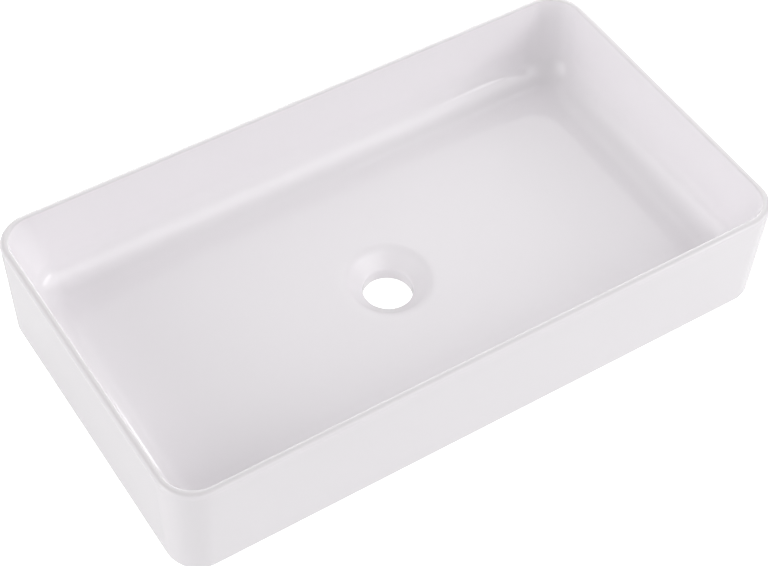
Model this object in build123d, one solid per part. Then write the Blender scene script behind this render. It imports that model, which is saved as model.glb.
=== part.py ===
from build123d import *
import math
import os

# A rectangular countertop basin: one glazed ceramic casting that stands on its own foot ring.
# Millimetres. The origin is on the counter, under the centre of the basin.
# +X runs along the length, +Y towards the back, +Z up.

# Overall size
length = 610.0
width = 340.0
height = 110.0

# Outer wall
corner_radius = 34.0
wall_lean = 4.0
foot_edge_radius = 4.0

# Rim
rim_thickness = 7.0
rim_outer_radius = 4.5
rim_inner_radius = 1.5

# Bowl: its walls lean in from the rim, its corners open out on the way down,
# and a wide curve turns both into the floor
bowl_lean = 9.0
floor_height = 30.0
floor_corner_radius = 44.0
floor_curve_radius = 32.0

# Fall of the floor to the waste, which starts just inside the curve of the walls
floor_fall = 2.5
level_margin = 2.0

# Waste hole, and the shallow dish that its flange sits in
hole_radius = 23.0
hole_edge_radius = 3.0
hole_foot_chamfer = 1.0
hole_seat_height = 15.0
dish_radius = 40.0
dish_lip_radius = 16.0

# Underside: a hollow inside the foot ring, a boss round the hole and ribs that hold the floor flat
shell_thickness = 11.0
foot_width = 14.0
foot_draft = 6.0
foot_inner_chamfer = 1.5
boss_radius = 46.0
boss_gap = 2.0
boss_chamfer = 2.0
rib_width = 12.0
rib_gap = 3.0
rib_offset = 150.0
rib_edge_radius = 2.5
casting_draft = 6.0

# How far a cutting shape reaches past the face that it cuts
overshoot = 5.0

# Sizes that follow from the ones above
bowl_wall_slope = bowl_lean / (height - floor_height)
bowl_wall_angle = math.atan(bowl_wall_slope)
floor_curve_run = floor_curve_radius * math.tan((math.pi / 2 - bowl_wall_angle) / 2)
floor_inset = rim_thickness + bowl_lean + floor_curve_run
floor_edge_corner = floor_corner_radius - floor_curve_run
dish_level = floor_height - floor_fall
dish_angle = math.atan((dish_level - hole_seat_height) / (dish_radius - hole_radius))
dish_edge = dish_radius + dish_lip_radius * math.tan(dish_angle / 2) + level_margin
draft_slope = math.tan(math.radians(casting_draft))


def inset_outline(inset, radius, level):
    """A rounded rectangle, inset from the outer edge of the rim, lying at a height."""
    return Plane.XY.offset(level) * RectangleRounded(length - 2 * inset, width - 2 * inset, radius)


def edge_bearing(edge):
    """The direction in which the middle of an edge lies from the centre of the basin."""
    middle = edge.position_at(0.5)
    return math.atan2(middle.Y, middle.X)


def walled_space(low, high):
    """A solid between two rounded rectangles, with flat walls and corners that change radius."""
    walls = []
    low_edges = sorted(low.edges(), key=edge_bearing)
    high_edges = sorted(high.edges(), key=edge_bearing)
    for low_edge, high_edge in zip(low_edges, high_edges):
        wall = Face.make_surface_from_curves(low_edge, high_edge)
        if low_edge.geom_type == GeomType.LINE:
            wall = Face(wall.outer_wire())
        walls.append(wall)
    return Solid(Shell([low.face(), high.face(), *walls]))


def outer_block():
    """The outside of the basin, leaning in from the rim to the foot."""
    foot = inset_outline(wall_lean, corner_radius - wall_lean, 0)
    block = extrude(foot, height, taper=-math.degrees(math.atan(wall_lean / height)))
    return fillet(block.faces().sort_by(Axis.Z)[0].edges(), foot_edge_radius)


def bowl_space():
    """The space inside the bowl, with a level floor."""
    mouth_inset = rim_thickness - bowl_wall_slope * overshoot
    low = inset_outline(rim_thickness + bowl_lean, floor_corner_radius, floor_height)
    high = inset_outline(mouth_inset, corner_radius - rim_thickness, height + overshoot)
    space = walled_space(low, high)
    return fillet(space.faces().sort_by(Axis.Z)[0].edges(), floor_curve_radius)


def floor_fall_space():
    """What the fall of the floor takes out below the level strip beside the walls."""
    level_inset = floor_inset + level_margin
    level_edge = inset_outline(level_inset, floor_edge_corner, floor_height)
    dish_outline = RectangleRounded(2 * dish_edge, 2 * dish_edge, floor_edge_corner)
    return walled_space(Plane.XY.offset(dish_level) * dish_outline, level_edge)


def waste_dish_space():
    """The waste hole and the dish above it, turned about the axis of the hole."""
    top = floor_height + overshoot
    corners = [
        (0, top),
        (dish_edge, top),
        (dish_edge, dish_level),
        (dish_radius, dish_level),
        (hole_radius, hole_seat_height),
        (hole_radius, boss_gap + hole_foot_chamfer),
        (hole_radius + hole_foot_chamfer, boss_gap),
        (hole_radius + hole_foot_chamfer, -overshoot),
        (0, -overshoot),
    ]
    profile = make_face(Polyline(*corners, close=True))
    lip = profile.vertices().sort_by_distance((dish_radius, dish_level, 0))[0]
    profile = fillet(lip, dish_lip_radius)
    edge = profile.vertices().sort_by_distance((hole_radius, hole_seat_height, 0))[0]
    profile = fillet(edge, hole_edge_radius)
    return revolve(Plane.XZ * profile, Axis.Z)


def casting_above_hollow():
    """The bowl's floor and its curve, grown by the thickness of the casting."""
    under_radius = floor_curve_radius + shell_thickness
    under_inset = floor_inset - under_radius
    under_level = Plane.XY.offset(floor_height - shell_thickness)
    block = extrude(under_level * Rectangle(length - 2 * under_inset, width - 2 * under_inset), height)
    lower_edges = block.edges() - block.faces().sort_by(Axis.Z)[-1].edges()
    return fillet(lower_edges, under_radius)


def boss():
    """The boss round the waste hole, which the nut of the waste pulls up against."""
    top_radius = boss_radius + draft_slope * (height - boss_gap)
    corners = [(0, boss_gap), (boss_radius, boss_gap), (top_radius, height), (0, height)]
    profile = make_face(Polyline(*corners, close=True))
    edge = profile.vertices().sort_by_distance((boss_radius, boss_gap, 0))[0]
    return revolve(Plane.XZ * chamfer(edge, boss_chamfer), Axis.Z)


def rib_profile():
    """A rib cut across, widening towards the floor, its free edges rounded."""
    foot_half = rib_width / 2
    top_half = foot_half + draft_slope * (height - rib_gap)
    corners = [(-foot_half, rib_gap), (foot_half, rib_gap), (top_half, height), (-top_half, height)]
    profile = make_face(Polyline(*corners, close=True))
    return fillet(profile.vertices().group_by(Axis.Y)[0], rib_edge_radius)


def under_hollow():
    """The hollow inside the foot ring, with the boss and the ribs left standing in it."""
    foot_inner = inset_outline(wall_lean + foot_width, corner_radius - wall_lean - foot_width, 0)
    hollow = extrude(foot_inner, height, taper=foot_draft)
    hollow -= casting_above_hollow()
    hollow -= boss()
    hollow -= extrude(Plane.YZ * rib_profile(), length, both=True)
    for along in (-rib_offset, rib_offset):
        hollow -= Pos(along, 0, 0) * extrude(Plane.XZ * rib_profile(), length, both=True)
    return hollow


def round_rim(body):
    """Round the rim over, wide on the outside and tight on the inside."""
    rim = body.faces().sort_by(Axis.Z)[-1]
    body = fillet(rim.outer_wire().edges(), min(rim_outer_radius, 0.65 * rim_thickness))
    rim = body.faces().sort_by(Axis.Z)[-1]
    return fillet(rim.inner_wires()[0].edges(), min(rim_inner_radius, 0.25 * rim_thickness))


def basin_body():
    """The whole casting."""
    body = round_rim(outer_block() - bowl_space())
    body -= floor_fall_space()
    body -= under_hollow()
    foot = body.faces().sort_by(Axis.Z)[0]
    body = chamfer(foot.inner_wires()[0].edges(), foot_inner_chamfer)
    body -= waste_dish_space()
    return body


def main():
    os.makedirs("parts", exist_ok=True)
    export_step(basin_body(), "parts/basin_body.step")


main()
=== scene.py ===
import math

import bmesh
import bpy
from mathutils import Matrix, Vector


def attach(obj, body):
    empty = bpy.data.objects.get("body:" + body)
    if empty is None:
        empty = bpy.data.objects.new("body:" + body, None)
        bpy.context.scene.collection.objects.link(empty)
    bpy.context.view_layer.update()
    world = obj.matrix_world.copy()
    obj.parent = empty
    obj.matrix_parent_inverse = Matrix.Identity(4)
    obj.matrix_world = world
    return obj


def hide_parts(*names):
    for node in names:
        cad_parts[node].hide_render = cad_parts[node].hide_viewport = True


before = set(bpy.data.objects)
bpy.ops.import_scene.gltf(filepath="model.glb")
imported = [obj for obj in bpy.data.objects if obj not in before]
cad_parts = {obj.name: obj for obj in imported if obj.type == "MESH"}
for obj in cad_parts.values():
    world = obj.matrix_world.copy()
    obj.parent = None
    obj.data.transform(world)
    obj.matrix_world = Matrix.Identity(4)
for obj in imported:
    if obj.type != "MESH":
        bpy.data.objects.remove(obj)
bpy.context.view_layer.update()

# A rectangular countertop basin in glazed ceramic, seen from above its front left corner.
# Metres. The origin is on the counter, under the centre of the basin.
# +X runs along the length, +Y towards the back, +Z up.

# Overall size
LENGTH = 0.610
WIDTH = 0.340
HEIGHT = 0.110

# Outer wall and rim
CORNER_RADIUS = 0.034
WALL_LEAN = 0.004
FOOT_EDGE_RADIUS = 0.004
RIM_THICKNESS = 0.007
RIM_OUTER_RADIUS = 0.0045
RIM_INNER_RADIUS = 0.0015

# Bowl
BOWL_LEAN = 0.009
FLOOR_HEIGHT = 0.030
FLOOR_CORNER_RADIUS = 0.044
FLOOR_CURVE_RADIUS = 0.032
MOUTH_CORNER_RADIUS = 0.027
MOUTH_OVERSHOOT = 0.005
FLOOR_FALL = 0.0025
FALL_SOFTNESS = 0.3
FALL_EASE = 0.15
LEVEL_MARGIN = 0.002

# Waste hole and dish
HOLE_RADIUS = 0.023
HOLE_EDGE_RADIUS = 0.003
HOLE_FOOT_CHAMFER = 0.001
HOLE_SEAT_HEIGHT = 0.015
DISH_RADIUS = 0.040
DISH_LIP_RADIUS = 0.016

# Underside
SHELL_THICKNESS = 0.011
FOOT_WIDTH = 0.014
FOOT_INNER_CHAMFER = 0.0015
BOSS_RADIUS = 0.046
BOSS_GAP = 0.002
BOSS_CHAMFER = 0.002
RIB_WIDTH = 0.012
RIB_GAP = 0.003
RIB_OFFSET = 0.150
RIB_EDGE_RADIUS = 0.0025
RIB_REACH = 0.004
CASTING_DRAFT = math.radians(6.0)

# How finely the surfaces are drawn
CORNER_STEPS = 20
LONG_RUN_STEPS = 24
SHORT_RUN_STEPS = 14
FLOOR_STEPS = 24
CURVE_STEPS = 20
WALL_STEPS = 5
CEILING_STEPS = 12
ARC_STEP = math.radians(7.5)
SHARP_ANGLE = math.radians(25.0)
BOSS_APPROACH_STEPS = 4
RIB_STEPS = 80
RIB_EDGE_STEPS = 5
WALL_END_SHARE = 0.02
HALVINGS = 30
SUPPORT = 0.001
PROFILE_SUPPORT = SUPPORT / 4
TINY_RADIUS = 0.0004
LEVEL_TOLERANCE = 1e-6

# Sizes that follow from the ones above
WALL_SLOPE = BOWL_LEAN / (HEIGHT - FLOOR_HEIGHT)
CORNER_GROWTH = (FLOOR_CORNER_RADIUS - MOUTH_CORNER_RADIUS) / (HEIGHT + MOUTH_OVERSHOOT - FLOOR_HEIGHT)
WALL_ANGLE = math.atan(WALL_SLOPE)
CURVE_RUN = FLOOR_CURVE_RADIUS * math.tan((math.pi / 2 - WALL_ANGLE) / 2)
FLOOR_INSET = RIM_THICKNESS + BOWL_LEAN + CURVE_RUN
DISH_LEVEL = FLOOR_HEIGHT - FLOOR_FALL
DISH_ANGLE = math.atan((DISH_LEVEL - HOLE_SEAT_HEIGHT) / (DISH_RADIUS - HOLE_RADIUS))
DISH_EDGE = DISH_RADIUS + DISH_LIP_RADIUS * math.tan(DISH_ANGLE / 2) + LEVEL_MARGIN
CEILING_HEIGHT = FLOOR_HEIGHT - SHELL_THICKNESS
CEILING_CURVE_RADIUS = FLOOR_CURVE_RADIUS + SHELL_THICKNESS
DRAFT_SLOPE = math.tan(CASTING_DRAFT)
BOSS_TOP_RADIUS = BOSS_RADIUS + DRAFT_SLOPE * (CEILING_HEIGHT - BOSS_GAP)
RING_POINTS = 4 * (CORNER_STEPS + 1) + 2 * LONG_RUN_STEPS + 2 * SHORT_RUN_STEPS

# Photograph: where the camera stood, in degrees and metres, and its lens, in millimetres
CAMERA_AZIMUTH = -34.34
CAMERA_ELEVATION = 49.89
CAMERA_ROLL = 2.50
CAMERA_DISTANCE = 1.83646
CAMERA_LENS = 93.81
CAMERA_SENSOR_WIDTH = 36.0
CAMERA_SIGHT = (0.05, 50.0)
CAMERA_TARGET = Vector((0.00779, 0.01813, 0.0))

# Studio. Azimuth 0 is in front of the basin and 90 is to its right.
# Softboxes: azimuth, elevation, width and height in degrees, and brightness.
LIGHT_DISTANCE = 3.0
SOFTBOXES = (
    ("softbox_front_right", 52, 23, 36, 12, 3.0),
    ("softbox_back_high", 145, 52, 50, 24, 0.9),
    ("softbox_back_low", 150, 12, 50, 16, 5.2),
)
# Glows of the room: azimuth and elevation in degrees, how tight the glow is, and brightness
ROOM_GLOWS = (
    (52, 27, 14, 2.5),
    (20, 45, 16, 1.6),
    (0, 45, 6, 0.5),
    (262, 20, 14, 2.8),
    (270, 20, 6, 1.0),
    (215, 20, 6, 0.6),
    (150, 25, 14, 1.1),
    (120, 15, 6, 0.8),
)
# Floor: its glow to the basin's left and right, how far along X those are, and the extra glow
# that makes it as white to the camera as the photograph's background.
FLOOR_HALF_SIZE = 6.0
FLOOR_PALE = (0.5, 0.5, 0.5, 1.0)
FLOOR_ROUGHNESS = 0.9
FLOOR_GLOW = (0.37, 0.43)
FLOOR_GLOW_SPAN = (-0.5, 0.3)
FLOOR_SEEN_GLOW = 0.6

# Glaze and bare clay: colours, roughness from smooth to dull, and how their surfaces waver in metres
GLAZE_WHITE = (0.890, 0.864, 0.890, 1.0)
GLAZE_WHITE_DRIFTED = (0.878, 0.852, 0.878, 1.0)
# Painted shade: the glaze's colour over the top of the rim, darker than the rest
GLAZE_CREST_PAINTED_SHADE = (0.800, 0.774, 0.792, 1.0)
GLAZE_ROUGHNESS = (0.035, 0.065)
GLAZE_IOR = 1.5
GLAZE_WAVER = {
    "Swell_Size": 0.045,
    "Swell_Depth": 0.00004,
    "Grain_Size": 0.0022,
    "Grain_Depth": 0.0000012,
    "Drift_Size": 0.120,
}
# Painted shade over the rim's top: how far below the top it begins to darken and where it is darkest,
# in metres
CREST_PAINTED_SHADE_DEPTHS = (0.0016, 0.0004)
CLAY_PALE = (0.76, 0.71, 0.65, 1.0)
CLAY_WARM = (0.70, 0.64, 0.57, 1.0)
CLAY_GROG = (0.46, 0.40, 0.34, 1.0)
CLAY_ROUGHNESS = (0.78, 0.92)
CLAY_WAVER = {
    "Swell_Size": 0.012,
    "Swell_Depth": 0.00006,
    "Grain_Size": 0.0007,
    "Grain_Depth": 0.00003,
    "Drift_Size": 0.040,
}
GROG_SPACING = 0.0016
GROG_EDGE = (0.10, 0.22)

# The places of the two materials in the basin's list
GLAZED, BARE = 0, 1


def eased(share, ease):
    """A share from 0 to 1 that sets off level and ends level, and is straight in between."""
    share = min(max(share, 0.0), 1.0)
    if share < ease:
        reached = share**2 / (2 * ease)
    elif share <= 1 - ease:
        reached = share - ease / 2
    else:
        reached = 1 - ease - (1 - share) ** 2 / (2 * ease)
    return reached / (1 - ease)


def soft_minimum(first, second, softness):
    """The smaller of two numbers, with a smooth change from one to the other."""
    closeness = max(softness - abs(first - second), 0.0) / softness
    return min(first, second) - closeness**2 * softness / 4


def floor_level(x, y):
    """The height of the bowl's floor, which falls to the dish and is level beside the walls."""
    level_inset = FLOOR_INSET + LEVEL_MARGIN
    along = (LENGTH / 2 - level_inset - abs(x)) / (LENGTH / 2 - level_inset - DISH_EDGE)
    across = (WIDTH / 2 - level_inset - abs(y)) / (WIDTH / 2 - level_inset - DISH_EDGE)
    share = eased(soft_minimum(along, across, FALL_SOFTNESS), FALL_EASE)
    return FLOOR_HEIGHT - FLOOR_FALL * share


def ceiling_level(x, y):
    """The height of the casting's underside, above the hollow."""
    along = max(abs(x) - (LENGTH / 2 - FLOOR_INSET), 0.0)
    across = max(abs(y) - (WIDTH / 2 - FLOOR_INSET), 0.0)
    drop = math.sqrt(max(CEILING_CURVE_RADIUS**2 - along**2 - across**2, 0.0))
    return CEILING_HEIGHT + CEILING_CURVE_RADIUS - drop


def even_shares(steps):
    """Evenly spaced shares, from the first step up to 1."""
    return [step / steps for step in range(1, steps + 1)]


def bearings():
    """The directions that one corner's points face, from the end of the basin round to its side."""
    return [math.pi / 2 * step / CORNER_STEPS for step in range(CORNER_STEPS + 1)]


def facing(bearing):
    """The level direction that a corner's surface faces at a bearing."""
    return Vector((math.cos(bearing), math.sin(bearing), 0))


def straight_run(start, end, steps):
    """The points between two corners, with one close to each corner so that the wall stays flat."""
    span = (end - start).length
    close = min(SUPPORT, span / (steps + 1)) / span
    shares = [close + (1 - 2 * close) * step / (steps - 1) for step in range(steps)]
    return [start.lerp(end, share) for share in shares]


def whole_ring(corner):
    """A closed ring of points from those of its back right corner."""
    first, last = corner[0], corner[-1]
    flip_x = Matrix.Diagonal((-1, 1, 1))
    flip_y = Matrix.Diagonal((1, -1, 1))
    points = list(corner)
    points += straight_run(last, flip_x @ last, LONG_RUN_STEPS)
    points += [flip_x @ point for point in reversed(corner)]
    points += straight_run(flip_x @ first, flip_x @ flip_y @ first, SHORT_RUN_STEPS)
    points += [flip_x @ flip_y @ point for point in corner]
    points += straight_run(flip_x @ flip_y @ last, flip_y @ last, LONG_RUN_STEPS)
    points += [flip_y @ point for point in reversed(corner)]
    points += straight_run(flip_y @ first, first, SHORT_RUN_STEPS)
    return points


def inset_ring(inset, level, centre_inset=CORNER_RADIUS):
    """A rounded rectangle, inset from the rim's outer edge, with its corners' centres kept in place."""
    centre = Vector((LENGTH / 2 - centre_inset, WIDTH / 2 - centre_inset, level))
    radius = centre_inset - inset
    return whole_ring([centre + radius * facing(bearing) for bearing in bearings()])


def round_ring(radius, level):
    """A circle with as many points as the rounded rectangles have, lined up with them."""
    turn = 2 * math.pi / RING_POINTS
    first = math.pi / 4 - turn * CORNER_STEPS / 2
    return [
        Vector((radius * math.cos(first + turn * i), radius * math.sin(first + turn * i), level))
        for i in range(RING_POINTS)
    ]


def rounded_profile(corners):
    """The points of a profile given as (across, level, radius), each corner turned on its radius.

    The points just before and after each turn keep the runs beside it straight.
    """
    points = [Vector(corners[0][:2])]
    for before, here, after in zip(corners, corners[1:], corners[2:]):
        corner = Vector(here[:2])
        back = (Vector(before[:2]) - corner).normalized()
        ahead = (Vector(after[:2]) - corner).normalized()
        half_angle = back.angle(ahead) / 2
        run = here[2] / math.tan(half_angle)
        centre = corner + (back + ahead).normalized() * here[2] / math.sin(half_angle)
        start = corner + back * run - centre
        end = corner + ahead * run - centre
        first_angle = math.atan2(start.y, start.x)
        sweep = math.remainder(math.atan2(end.y, end.x) - first_angle, 2 * math.pi)
        steps = max(2, math.ceil(abs(sweep) / ARC_STEP))
        points.append(corner + back * (run + PROFILE_SUPPORT))
        for step in range(steps + 1):
            angle = first_angle + sweep * step / steps
            points.append(centre + here[2] * Vector((math.cos(angle), math.sin(angle))))
        points.append(corner + ahead * (run + PROFILE_SUPPORT))
    points.append(Vector(corners[-1][:2]))
    return points


def between_rings(first, last, shares, level=None):
    """Rings that change from one ring to another, laid on a surface if one is given."""
    rings = []
    for share in shares:
        ring = [start.lerp(end, share) for start, end in zip(first, last)]
        if level:
            ring = [Vector((point.x, point.y, level(point.x, point.y))) for point in ring]
        rings.append(ring)
    return rings


def wall_lean(bearing):
    """How far the bowl's wall leans back at a bearing. The corners lean more than the sides."""
    spread = math.cos(bearing) + math.sin(bearing)
    return math.atan((WALL_SLOPE + CORNER_GROWTH) * spread - CORNER_GROWTH)


def wall_point(bearing, level):
    """A point on the bowl's wall at one corner, before its foot and its top are rounded."""
    inset = RIM_THICKNESS + WALL_SLOPE * (HEIGHT - level)
    radius = MOUTH_CORNER_RADIUS + CORNER_GROWTH * (HEIGHT + MOUTH_OVERSHOOT - level)
    centre = Vector((LENGTH / 2 - inset - radius, WIDTH / 2 - inset - radius, level))
    return centre + radius * facing(bearing)


def curve_point(bearing, share):
    """A point on the curve between the floor, at share 0, and the bowl's wall, at share 1."""
    lean = wall_lean(bearing)
    centre_level = FLOOR_HEIGHT + FLOOR_CURVE_RADIUS
    top = wall_point(bearing, centre_level - FLOOR_CURVE_RADIUS * math.sin(lean))
    centre = top - FLOOR_CURVE_RADIUS * math.cos(lean) * facing(bearing)
    centre.z = centre_level
    angle = math.pi / 2 + (lean - math.pi / 2) * share
    outwards = FLOOR_CURVE_RADIUS * math.cos(angle) * facing(bearing)
    return centre + outwards - Vector((0, 0, FLOOR_CURVE_RADIUS * math.sin(angle)))


def rim_edge_point(bearing, share):
    """A point on the rounding inside the rim, from the wall, at share 0, to the top, at share 1."""
    lean = wall_lean(bearing)
    run = RIM_INNER_RADIUS / math.tan((math.pi / 2 + lean) / 2)
    centre = wall_point(bearing, HEIGHT) + run * facing(bearing)
    centre.z = HEIGHT - RIM_INNER_RADIUS
    angle = lean + (math.pi / 2 - lean) * share
    inwards = RIM_INNER_RADIUS * math.cos(angle) * facing(bearing)
    return centre - inwards + Vector((0, 0, RIM_INNER_RADIUS * math.sin(angle)))


def dish_rings():
    """The waste hole from its foot up, its rounded edge, and the dish as far as the floor."""
    profile = rounded_profile(
        [
            (HOLE_RADIUS, BOSS_GAP + HOLE_FOOT_CHAMFER, 0),
            (HOLE_RADIUS, HOLE_SEAT_HEIGHT, HOLE_EDGE_RADIUS),
            (DISH_RADIUS, DISH_LEVEL, DISH_LIP_RADIUS),
            (DISH_EDGE, DISH_LEVEL, 0),
        ]
    )
    return [round_ring(point.x, point.y) for point in profile]


def floor_rings():
    """The floor from the dish out to the curve of the walls."""
    inner = round_ring(DISH_EDGE, DISH_LEVEL)
    outer = whole_ring([curve_point(bearing, 0) for bearing in bearings()])
    return between_rings(inner, outer, even_shares(FLOOR_STEPS)[:-1], floor_level)


def bowl_wall_rings():
    """The curve of the walls, the walls, and the rounding inside the rim."""
    rings = []
    for step in range(CURVE_STEPS + 1):
        rings.append(whole_ring([curve_point(b, step / CURVE_STEPS) for b in bearings()]))
    foot = rings[-1]
    top = whole_ring([rim_edge_point(bearing, 0) for bearing in bearings()])
    shares = [WALL_END_SHARE] + even_shares(WALL_STEPS)[:-1] + [1 - WALL_END_SHARE]
    rings += between_rings(foot, top, shares)
    edge_steps = math.ceil(math.pi / 2 / ARC_STEP)
    for step in range(edge_steps + 1):
        rings.append(whole_ring([rim_edge_point(b, step / edge_steps) for b in bearings()]))
    return rings


def outside_rings():
    """The top of the rim, its outer rounding, the outer wall and the foot."""
    foot_top_inset = WALL_LEAN + FOOT_WIDTH + FOOT_INNER_CHAMFER * DRAFT_SLOPE
    profile = rounded_profile(
        [
            (RIM_THICKNESS, HEIGHT, 0),
            (0, HEIGHT, RIM_OUTER_RADIUS),
            (WALL_LEAN, 0, FOOT_EDGE_RADIUS),
            (WALL_LEAN + FOOT_WIDTH - FOOT_INNER_CHAMFER, 0, TINY_RADIUS),
            (foot_top_inset, FOOT_INNER_CHAMFER, TINY_RADIUS),
            (foot_top_inset + FOOT_WIDTH * DRAFT_SLOPE, FOOT_WIDTH, 0),
        ]
    )
    return [inset_ring(point.x, point.y) for point in profile[1:-1]]


def foot_wall_top():
    """Where the inner wall of the foot runs up into the casting's underside."""
    low_inset = WALL_LEAN + FOOT_WIDTH
    base = inset_ring(low_inset, 0)
    # This is high enough to be past the underside all round.
    reach = FLOOR_CURVE_RADIUS
    tip = inset_ring(low_inset + DRAFT_SLOPE * reach, reach)
    top = []
    for low, high in zip(base, tip):
        below, above = 0.0, 1.0
        for _ in range(HALVINGS):
            middle = (below + above) / 2
            point = low.lerp(high, middle)
            if point.z < ceiling_level(point.x, point.y):
                below = middle
            else:
                above = middle
        top.append(low.lerp(high, below))
    return top


def hollow_rings():
    """The casting's underside, from the foot's inner wall to the boss."""
    wall_top = foot_wall_top()
    flat_edge = inset_ring(FLOOR_INSET, CEILING_HEIGHT, FLOOR_INSET + RIM_THICKNESS)
    boss_top = round_ring(BOSS_TOP_RADIUS, CEILING_HEIGHT)
    rings = [wall_top]
    rings += between_rings(wall_top, flat_edge, even_shares(CEILING_STEPS), ceiling_level)
    rings += between_rings(rings[-1], boss_top, even_shares(BOSS_APPROACH_STEPS), ceiling_level)
    return rings


def boss_rings():
    """The boss round the waste hole, down to its flat underside and in to the hole."""
    profile = rounded_profile(
        [
            (BOSS_TOP_RADIUS, CEILING_HEIGHT, 0),
            (BOSS_RADIUS + DRAFT_SLOPE * BOSS_CHAMFER, BOSS_GAP + BOSS_CHAMFER, TINY_RADIUS),
            (BOSS_RADIUS - BOSS_CHAMFER, BOSS_GAP, TINY_RADIUS),
            (HOLE_RADIUS + HOLE_FOOT_CHAMFER, BOSS_GAP, TINY_RADIUS),
            (HOLE_RADIUS, BOSS_GAP + HOLE_FOOT_CHAMFER, 0),
        ]
    )
    return [round_ring(point.x, point.y) for point in profile[1:-1]]


def casting_mesh():
    """The basin without its ribs, as one closed run of rings from the waste hole back to it."""
    rings = dish_rings() + floor_rings() + bowl_wall_rings()
    rings += outside_rings() + hollow_rings() + boss_rings()
    mesh = bmesh.new()
    rows = [[mesh.verts.new(point) for point in ring] for ring in rings]
    for row, next_row in zip(rows, rows[1:] + rows[:1]):
        for i in range(len(row)):
            j = (i + 1) % len(row)
            face = mesh.faces.new((row[i], row[j], next_row[j], next_row[i]))
            face.material_index = BARE if rests_or_seats(face) else GLAZED
    bmesh.ops.recalc_face_normals(mesh, faces=mesh.faces)
    return mesh


def rests_or_seats(face):
    """Whether a face is one that was wiped bare of glaze: the foot's and the boss's flat undersides."""
    levels = [vertex.co.z for vertex in face.verts]
    flat = max(levels) - min(levels) < LEVEL_TOLERANCE
    return flat and max(levels) < BOSS_GAP + LEVEL_TOLERANCE


def new_object(name, mesh, materials=()):
    """An object from a bmesh, with its materials."""
    data = bpy.data.meshes.new(name)
    mesh.to_mesh(data)
    mesh.free()
    for material in materials:
        data.materials.append(material)
    piece = bpy.data.objects.new(name, data)
    bpy.context.scene.collection.objects.link(piece)
    return piece


def settle_modifiers(piece):
    """Turn an object's modifiers into its plain mesh."""
    evaluated = piece.evaluated_get(bpy.context.evaluated_depsgraph_get())
    data = bpy.data.meshes.new_from_object(evaluated)
    piece.modifiers.clear()
    piece.data = data


def feed(tree, socket, value):
    """Give a node's input a number, or the output of another node."""
    if isinstance(value, bpy.types.NodeSocket):
        tree.links.new(value, socket)
    else:
        socket.default_value = value


def add_node(tree, kind, setting=None, **values):
    """A node, with its inputs by name and the one menu setting that it may have."""
    node = tree.nodes.new(kind)
    for name, choice in (setting or {}).items():
        setattr(node, name, choice)
    for name, value in values.items():
        feed(tree, node.inputs[name.replace("_", " ")], value)
    return node


def calculate(tree, operation, *values):
    """The result of one sum in a node tree."""
    node = tree.nodes.new("ShaderNodeMath")
    node.operation = operation
    for socket, value in zip(node.inputs, values):
        feed(tree, socket, value)
    return node.outputs["Value"]


def ceiling_rise(tree, place):
    """How far the casting's underside has risen above its lowest level, at each place."""
    squares = []
    for axis, half_size in (("X", LENGTH / 2), ("Y", WIDTH / 2)):
        distance = calculate(tree, "ABSOLUTE", place.outputs[axis])
        beyond = calculate(tree, "SUBTRACT", distance, half_size - FLOOR_INSET)
        beyond = calculate(tree, "MAXIMUM", beyond, 0.0)
        squares.append(calculate(tree, "POWER", beyond, 2.0))
    square = calculate(tree, "SUBTRACT", CEILING_CURVE_RADIUS**2, calculate(tree, "ADD", *squares))
    drop = calculate(tree, "SQRT", calculate(tree, "MAXIMUM", square, 0.0))
    return calculate(tree, "SUBTRACT", CEILING_CURVE_RADIUS, drop)


def one_rib(tree, given, middle):
    """A rib with draft and rounded edges, along the X axis and with its middle at a level."""
    half_length = calculate(tree, "MULTIPLY", given["Length"], 0.5)
    near_end = add_node(tree, "ShaderNodeCombineXYZ", X=calculate(tree, "MULTIPLY", half_length, -1.0))
    far_end = add_node(tree, "ShaderNodeCombineXYZ", X=half_length)
    line = add_node(
        tree, "GeometryNodeCurvePrimitiveLine", Start=near_end.outputs[0], End=far_end.outputs[0]
    )
    line = add_node(tree, "GeometryNodeResampleCurve", Curve=line.outputs[0], Count=RIB_STEPS)
    # The profile hangs upside down on the line, so its bottom is the rib's top.
    profile = add_node(
        tree,
        "GeometryNodeCurvePrimitiveQuadrilateral",
        {"mode": "TRAPEZOID"},
        Height=given["Height"],
        Bottom_Width=given["Top Width"],
        Top_Width=given["Foot Width"],
        Offset=0.0,
    )
    profile = add_node(
        tree,
        "GeometryNodeFilletCurve",
        {"mode": "POLY"},
        Curve=profile.outputs[0],
        Count=RIB_EDGE_STEPS,
        Radius=given["Edge Radius"],
    )
    rib = add_node(
        tree,
        "GeometryNodeCurveToMesh",
        Curve=line.outputs[0],
        Profile_Curve=profile.outputs[0],
        Fill_Caps=True,
    )
    lift = add_node(tree, "ShaderNodeCombineXYZ", Z=middle).outputs[0]
    return add_node(tree, "GeometryNodeTransform", Geometry=rib.outputs[0], Translation=lift)


def two_ribs(tree, given, rib):
    """A rib at both ends of the spacing, each one turned about its own middle."""
    start = calculate(tree, "MULTIPLY", given["Spacing"], -0.5)
    places = add_node(
        tree,
        "GeometryNodeMeshLine",
        Count=2,
        Start_Location=add_node(tree, "ShaderNodeCombineXYZ", X=start).outputs[0],
        Offset=add_node(tree, "ShaderNodeCombineXYZ", X=given["Spacing"]).outputs[0],
    )
    turn = add_node(tree, "ShaderNodeCombineXYZ", Z=given["Turn"])
    turn = add_node(tree, "FunctionNodeEulerToRotation", Euler=turn.outputs[0])
    ribs = add_node(
        tree,
        "GeometryNodeInstanceOnPoints",
        Points=places.outputs[0],
        Instance=rib.outputs[0],
        Rotation=turn.outputs[0],
    )
    return add_node(tree, "GeometryNodeRealizeInstances", Geometry=ribs.outputs[0])


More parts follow.
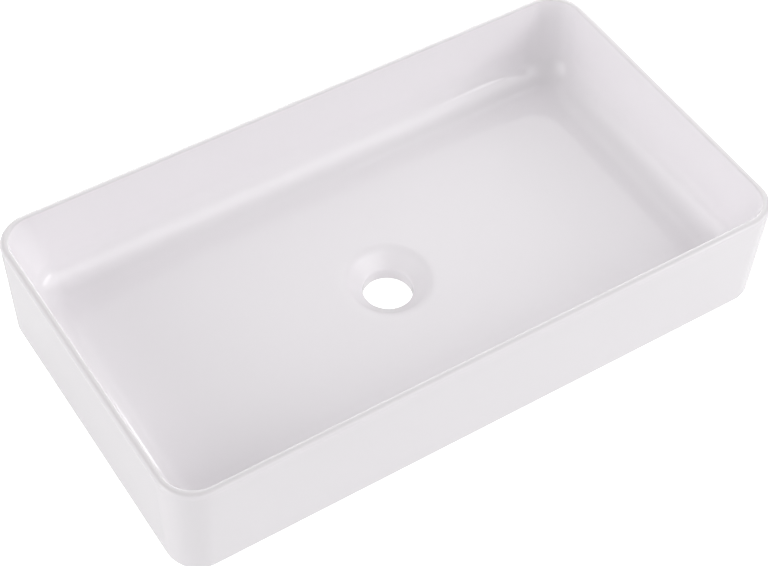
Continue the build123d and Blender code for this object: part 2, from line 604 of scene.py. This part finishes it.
def rib_pair_tree():
    """Two like ribs, side by side or end to end, whose tops follow the casting's underside."""
    tree = bpy.data.node_groups.new("rib_pair", "GeometryNodeTree")
    sizes = ("Length", "Spacing", "Turn", "Foot Width", "Top Width", "Gap", "Height", "Edge Radius")
    for name in sizes:
        tree.interface.new_socket(name, in_out="INPUT", socket_type="NodeSocketFloat")
    tree.interface.new_socket("Finish", in_out="INPUT", socket_type="NodeSocketMaterial")
    tree.interface.new_socket("Ribs", in_out="OUTPUT", socket_type="NodeSocketGeometry")
    given = tree.nodes.new("NodeGroupInput").outputs
    half_height = calculate(tree, "MULTIPLY", given["Height"], 0.5)
    middle = calculate(tree, "ADD", given["Gap"], half_height)
    ribs = two_ribs(tree, given, one_rib(tree, given, middle))
    place = tree.nodes.new("GeometryNodeInputPosition").outputs["Position"]
    place = add_node(tree, "ShaderNodeSeparateXYZ", Vector=place)
    rise = add_node(tree, "ShaderNodeCombineXYZ", Z=ceiling_rise(tree, place))
    ribs = add_node(
        tree,
        "GeometryNodeSetPosition",
        Geometry=ribs.outputs[0],
        Selection=calculate(tree, "GREATER_THAN", place.outputs["Z"], middle),
        Offset=rise.outputs[0],
    )
    ribs = add_node(
        tree, "GeometryNodeSetMaterial", Geometry=ribs.outputs[0], Material=given["Finish"]
    )
    result = tree.nodes.new("NodeGroupOutput")
    tree.links.new(ribs.outputs[0], result.inputs["Ribs"])
    return tree


def rib_pair(tree, name, length, spacing, turn, finish):
    """A pair of ribs as an object with a plain mesh."""
    height = CEILING_HEIGHT + RIB_REACH - RIB_GAP
    sizes = {
        "Length": length,
        "Spacing": spacing,
        "Turn": turn,
        "Foot Width": RIB_WIDTH,
        "Top Width": RIB_WIDTH + 2 * height * DRAFT_SLOPE,
        "Gap": RIB_GAP,
        "Height": height,
        "Edge Radius": RIB_EDGE_RADIUS,
        "Finish": finish,
    }
    ribs = new_object(name, bmesh.new())
    modifier = ribs.modifiers.new("ribs", "NODES")
    modifier.node_group = tree
    for socket in tree.interface.items_tree:
        if socket.in_out == "INPUT":
            modifier[socket.identifier] = sizes[socket.name]
    settle_modifiers(ribs)
    return ribs


def add_ribs(casting, finish):
    """Join the ribs under the bowl to the casting: two end to end and two across."""
    tree = rib_pair_tree()
    ring_inside = WALL_LEAN + FOOT_WIDTH - RIB_REACH
    inner_end = BOSS_RADIUS - RIB_REACH / 2
    outer_end = LENGTH / 2 - ring_inside
    lengthways = (outer_end - inner_end, outer_end + inner_end, 0.0)
    crossways = (WIDTH - 2 * ring_inside, 2 * RIB_OFFSET, math.pi / 2)
    for name, sizes in (("ribs_lengthways", lengthways), ("ribs_crossways", crossways)):
        ribs = rib_pair(tree, name, *sizes, finish)
        union = casting.modifiers.new(name, "BOOLEAN")
        union.operation = "UNION"
        union.solver = "EXACT"
        union.object = ribs
        settle_modifiers(casting)
        bpy.data.objects.remove(ribs)


def fine_unevenness_group():
    """How a fired surface wavers: a slow swell, a fine grain and a slow drift of tone."""
    group = bpy.data.node_groups.new("fine_unevenness", "ShaderNodeTree")
    for name in ("Swell Size", "Swell Depth", "Grain Size", "Grain Depth", "Drift Size"):
        group.interface.new_socket(name, in_out="INPUT", socket_type="NodeSocketFloat")
    for name in ("Height", "Drift"):
        group.interface.new_socket(name, in_out="OUTPUT", socket_type="NodeSocketFloat")
    given = group.nodes.new("NodeGroupInput").outputs
    place = group.nodes.new("ShaderNodeTexCoord").outputs["Object"]

    def noise(size, detail):
        scale = calculate(group, "DIVIDE", 1.0, size)
        wave = add_node(group, "ShaderNodeTexNoise", Vector=place, Scale=scale, Detail=detail)
        return wave.outputs["Fac"]

    swell = noise(given["Swell Size"], detail=1.0)
    swell = calculate(group, "MULTIPLY", swell, given["Swell Depth"])
    grain = noise(given["Grain Size"], detail=2.0)
    grain = calculate(group, "MULTIPLY", grain, given["Grain Depth"])
    result = group.nodes.new("NodeGroupOutput")
    feed(group, result.inputs["Height"], calculate(group, "ADD", swell, grain))
    feed(group, result.inputs["Drift"], noise(given["Drift Size"], detail=3.0))
    return group


def new_material(name):
    """A material with its node tree and its shader."""
    material = bpy.data.materials.new(name)
    material.use_nodes = True
    return material, material.node_tree, material.node_tree.nodes["Principled BSDF"]


def blend_values(tree, share, low, high):
    """A value that runs from low to high as the share runs from 0 to 1."""
    node = add_node(tree, "ShaderNodeMapRange", Value=share, To_Min=low, To_Max=high)
    return node.outputs["Result"]


def blend_colours(tree, share, first, second):
    """A colour that runs from the first to the second as the share runs from 0 to 1."""
    node = tree.nodes.new("ShaderNodeMix")
    node.data_type = "RGBA"
    colour_inputs = [socket for socket in node.inputs if socket.type == "RGBA"]
    feed(tree, node.inputs["Factor"], share)
    for socket, colour in zip(colour_inputs, (first, second)):
        feed(tree, socket, colour)
    return next(socket for socket in node.outputs if socket.type == "RGBA")


def add_relief(tree, shader, height):
    """Raise the surface by a height in metres."""
    bump = add_node(tree, "ShaderNodeBump", Strength=1.0, Distance=1.0, Height=height)
    feed(tree, shader.inputs["Normal"], bump.outputs["Normal"])


def glazed_material(unevenness):
    """Glossy white glaze, with painted shade that darkens the top of the rim."""
    material, tree, shader = new_material("white_glaze")
    waver = add_node(tree, "ShaderNodeGroup", {"node_tree": unevenness}, **GLAZE_WAVER)
    place = tree.nodes.new("ShaderNodeTexCoord").outputs["Object"]
    level = add_node(tree, "ShaderNodeSeparateXYZ", Vector=place).outputs["Z"]
    # Painted shade: the top of the rim is drawn in a darker colour
    painted_crest_shade = add_node(
        tree,
        "ShaderNodeMapRange",
        {"interpolation_type": "SMOOTHSTEP"},
        Value=level,
        From_Min=HEIGHT - CREST_PAINTED_SHADE_DEPTHS[0],
        From_Max=HEIGHT - CREST_PAINTED_SHADE_DEPTHS[1],
    )
    drift = waver.outputs["Drift"]
    glaze_colour = blend_colours(tree, drift, GLAZE_WHITE, GLAZE_WHITE_DRIFTED)
    feed(tree, shader.inputs["Base Color"], blend_colours(tree, painted_crest_shade.outputs[0], glaze_colour, GLAZE_CREST_PAINTED_SHADE))
    feed(tree, shader.inputs["Roughness"], blend_values(tree, drift, *GLAZE_ROUGHNESS))
    shader.inputs["IOR"].default_value = GLAZE_IOR
    add_relief(tree, shader, waver.outputs["Height"])
    return material


def bare_material(unevenness):
    """Fired clay where the glaze was wiped off, with fine dark grog in it."""
    material, tree, shader = new_material("bare_clay")
    waver = add_node(tree, "ShaderNodeGroup", {"node_tree": unevenness}, **CLAY_WAVER)
    place = tree.nodes.new("ShaderNodeTexCoord").outputs["Object"]
    grog = add_node(tree, "ShaderNodeTexVoronoi", Vector=place, Scale=1 / GROG_SPACING)
    speck = add_node(
        tree,
        "ShaderNodeMapRange",
        {"interpolation_type": "SMOOTHSTEP"},
        Value=grog.outputs["Distance"],
        From_Min=GROG_EDGE[0],
        From_Max=GROG_EDGE[1],
    )
    drift = waver.outputs["Drift"]
    body = blend_colours(tree, drift, CLAY_PALE, CLAY_WARM)
    feed(tree, shader.inputs["Base Color"], blend_colours(tree, speck.outputs[0], CLAY_GROG, body))
    feed(tree, shader.inputs["Roughness"], blend_values(tree, drift, *CLAY_ROUGHNESS))
    shader.inputs["IOR"].default_value = GLAZE_IOR
    add_relief(tree, shader, waver.outputs["Height"])
    return material


def make_basin():
    """The dressed basin, which stands for the CAD casting."""
    unevenness = fine_unevenness_group()
    materials = [glazed_material(unevenness), bare_material(unevenness)]
    basin = new_object("basin", casting_mesh(), materials)
    add_ribs(basin, materials[GLAZED])
    basin.data.shade_smooth()
    basin.data.set_sharp_from_angle(angle=SHARP_ANGLE)
    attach(basin, "root")
    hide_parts("basin_body")


def make_floor():
    """The pale floor that the basin stands on, which glows a little more to the basin's right."""
    mesh = bmesh.new()
    bmesh.ops.create_grid(mesh, x_segments=1, y_segments=1, size=FLOOR_HALF_SIZE)
    material, tree, shader = new_material("pale_floor")
    shader.inputs["Base Color"].default_value = FLOOR_PALE
    shader.inputs["Roughness"].default_value = FLOOR_ROUGHNESS
    shader.inputs["Specular IOR Level"].default_value = 0.0
    shader.inputs["Emission Color"].default_value = (1.0, 1.0, 1.0, 1.0)
    place = tree.nodes.new("ShaderNodeTexCoord").outputs["Object"]
    glow = add_node(
        tree,
        "ShaderNodeMapRange",
        {"interpolation_type": "SMOOTHSTEP"},
        Value=add_node(tree, "ShaderNodeSeparateXYZ", Vector=place).outputs["X"],
        From_Min=FLOOR_GLOW_SPAN[0],
        From_Max=FLOOR_GLOW_SPAN[1],
        To_Min=FLOOR_GLOW[0],
        To_Max=FLOOR_GLOW[1],
    )
    seen = tree.nodes.new("ShaderNodeLightPath").outputs["Is Camera Ray"]
    strength = calculate(tree, "MULTIPLY_ADD", seen, FLOOR_SEEN_GLOW, glow.outputs["Result"])
    feed(tree, shader.inputs["Emission Strength"], strength)
    floor = new_object("pale_floor", mesh, [material])


def facing_direction(azimuth, elevation):
    """The direction from the basin to something that stands round it, from angles in degrees."""
    azimuth, elevation = math.radians(azimuth), math.radians(elevation)
    level = math.cos(elevation)
    return Vector((math.sin(azimuth) * level, -math.cos(azimuth) * level, math.sin(elevation)))


def upright_axes(back):
    """The right, up and back directions of something that stands upright and faces away from back."""
    right = Vector((0, 0, 1)).cross(back).normalized()
    return right, back.cross(right), back


def turn_to(thing, axes):
    """Turn a camera or a light to the right, up and back directions that it is given."""
    thing.rotation_mode = "QUATERNION"
    thing.rotation_quaternion = Matrix(axes).transposed().to_quaternion()


def make_camera():
    """The camera, where the photograph was taken from."""
    data = bpy.data.cameras.new("camera")
    data.lens = CAMERA_LENS
    data.sensor_width = CAMERA_SENSOR_WIDTH
    data.clip_start, data.clip_end = CAMERA_SIGHT
    camera = bpy.data.objects.new("camera", data)
    bpy.context.scene.collection.objects.link(camera)
    right, up, back = upright_axes(facing_direction(CAMERA_AZIMUTH, CAMERA_ELEVATION))
    across, along = math.cos(math.radians(CAMERA_ROLL)), math.sin(math.radians(CAMERA_ROLL))
    turn_to(camera, (right * across + up * along, up * across - right * along, back))
    camera.location = CAMERA_TARGET + back * CAMERA_DISTANCE
    bpy.context.scene.camera = camera


def make_softbox(name, azimuth, elevation, wide, high, brightness):
    """A large flat light that faces the basin. Its width and height are the angles that it fills."""
    data = bpy.data.lights.new(name, "AREA")
    data.shape = "RECTANGLE"
    data.size = 2 * LIGHT_DISTANCE * math.tan(math.radians(wide) / 2)
    data.size_y = 2 * LIGHT_DISTANCE * math.tan(math.radians(high) / 2)
    data.energy = brightness * math.pi * data.size * data.size_y
    light = bpy.data.objects.new(name, data)
    bpy.context.scene.collection.objects.link(light)
    back = facing_direction(azimuth, elevation)
    turn_to(light, upright_axes(back))
    light.location = LIGHT_DISTANCE * back


def light_room():
    """The light that the room itself gives: broad soft glows, each round its own direction."""
    world = bpy.data.worlds.new("studio")
    bpy.context.scene.world = world
    world.use_nodes = True
    tree = world.node_tree
    direction = tree.nodes.new("ShaderNodeTexCoord").outputs["Generated"]
    total = 0.0
    for azimuth, elevation, tightness, brightness in ROOM_GLOWS:
        closeness = tree.nodes.new("ShaderNodeVectorMath")
        closeness.operation = "DOT_PRODUCT"
        tree.links.new(direction, closeness.inputs[0])
        closeness.inputs[1].default_value = facing_direction(azimuth, elevation)
        glow = calculate(tree, "MAXIMUM", closeness.outputs["Value"], 0.0)
        glow = calculate(tree, "POWER", glow, tightness)
        total = calculate(tree, "MULTIPLY_ADD", glow, brightness, total)
    feed(tree, tree.nodes["Background"].inputs["Strength"], total)
    tree.nodes["Background"].inputs["Color"].default_value = (1.0, 1.0, 1.0, 1.0)


def light_studio():
    """A softbox at the front right, two behind the basin, and the room's soft light."""
    for name, *sizes in SOFTBOXES:
        make_softbox(name, *sizes)
    light_room()
    bpy.context.scene.view_settings.view_transform = "Standard"


make_basin()
make_floor()
make_camera()
light_studio()
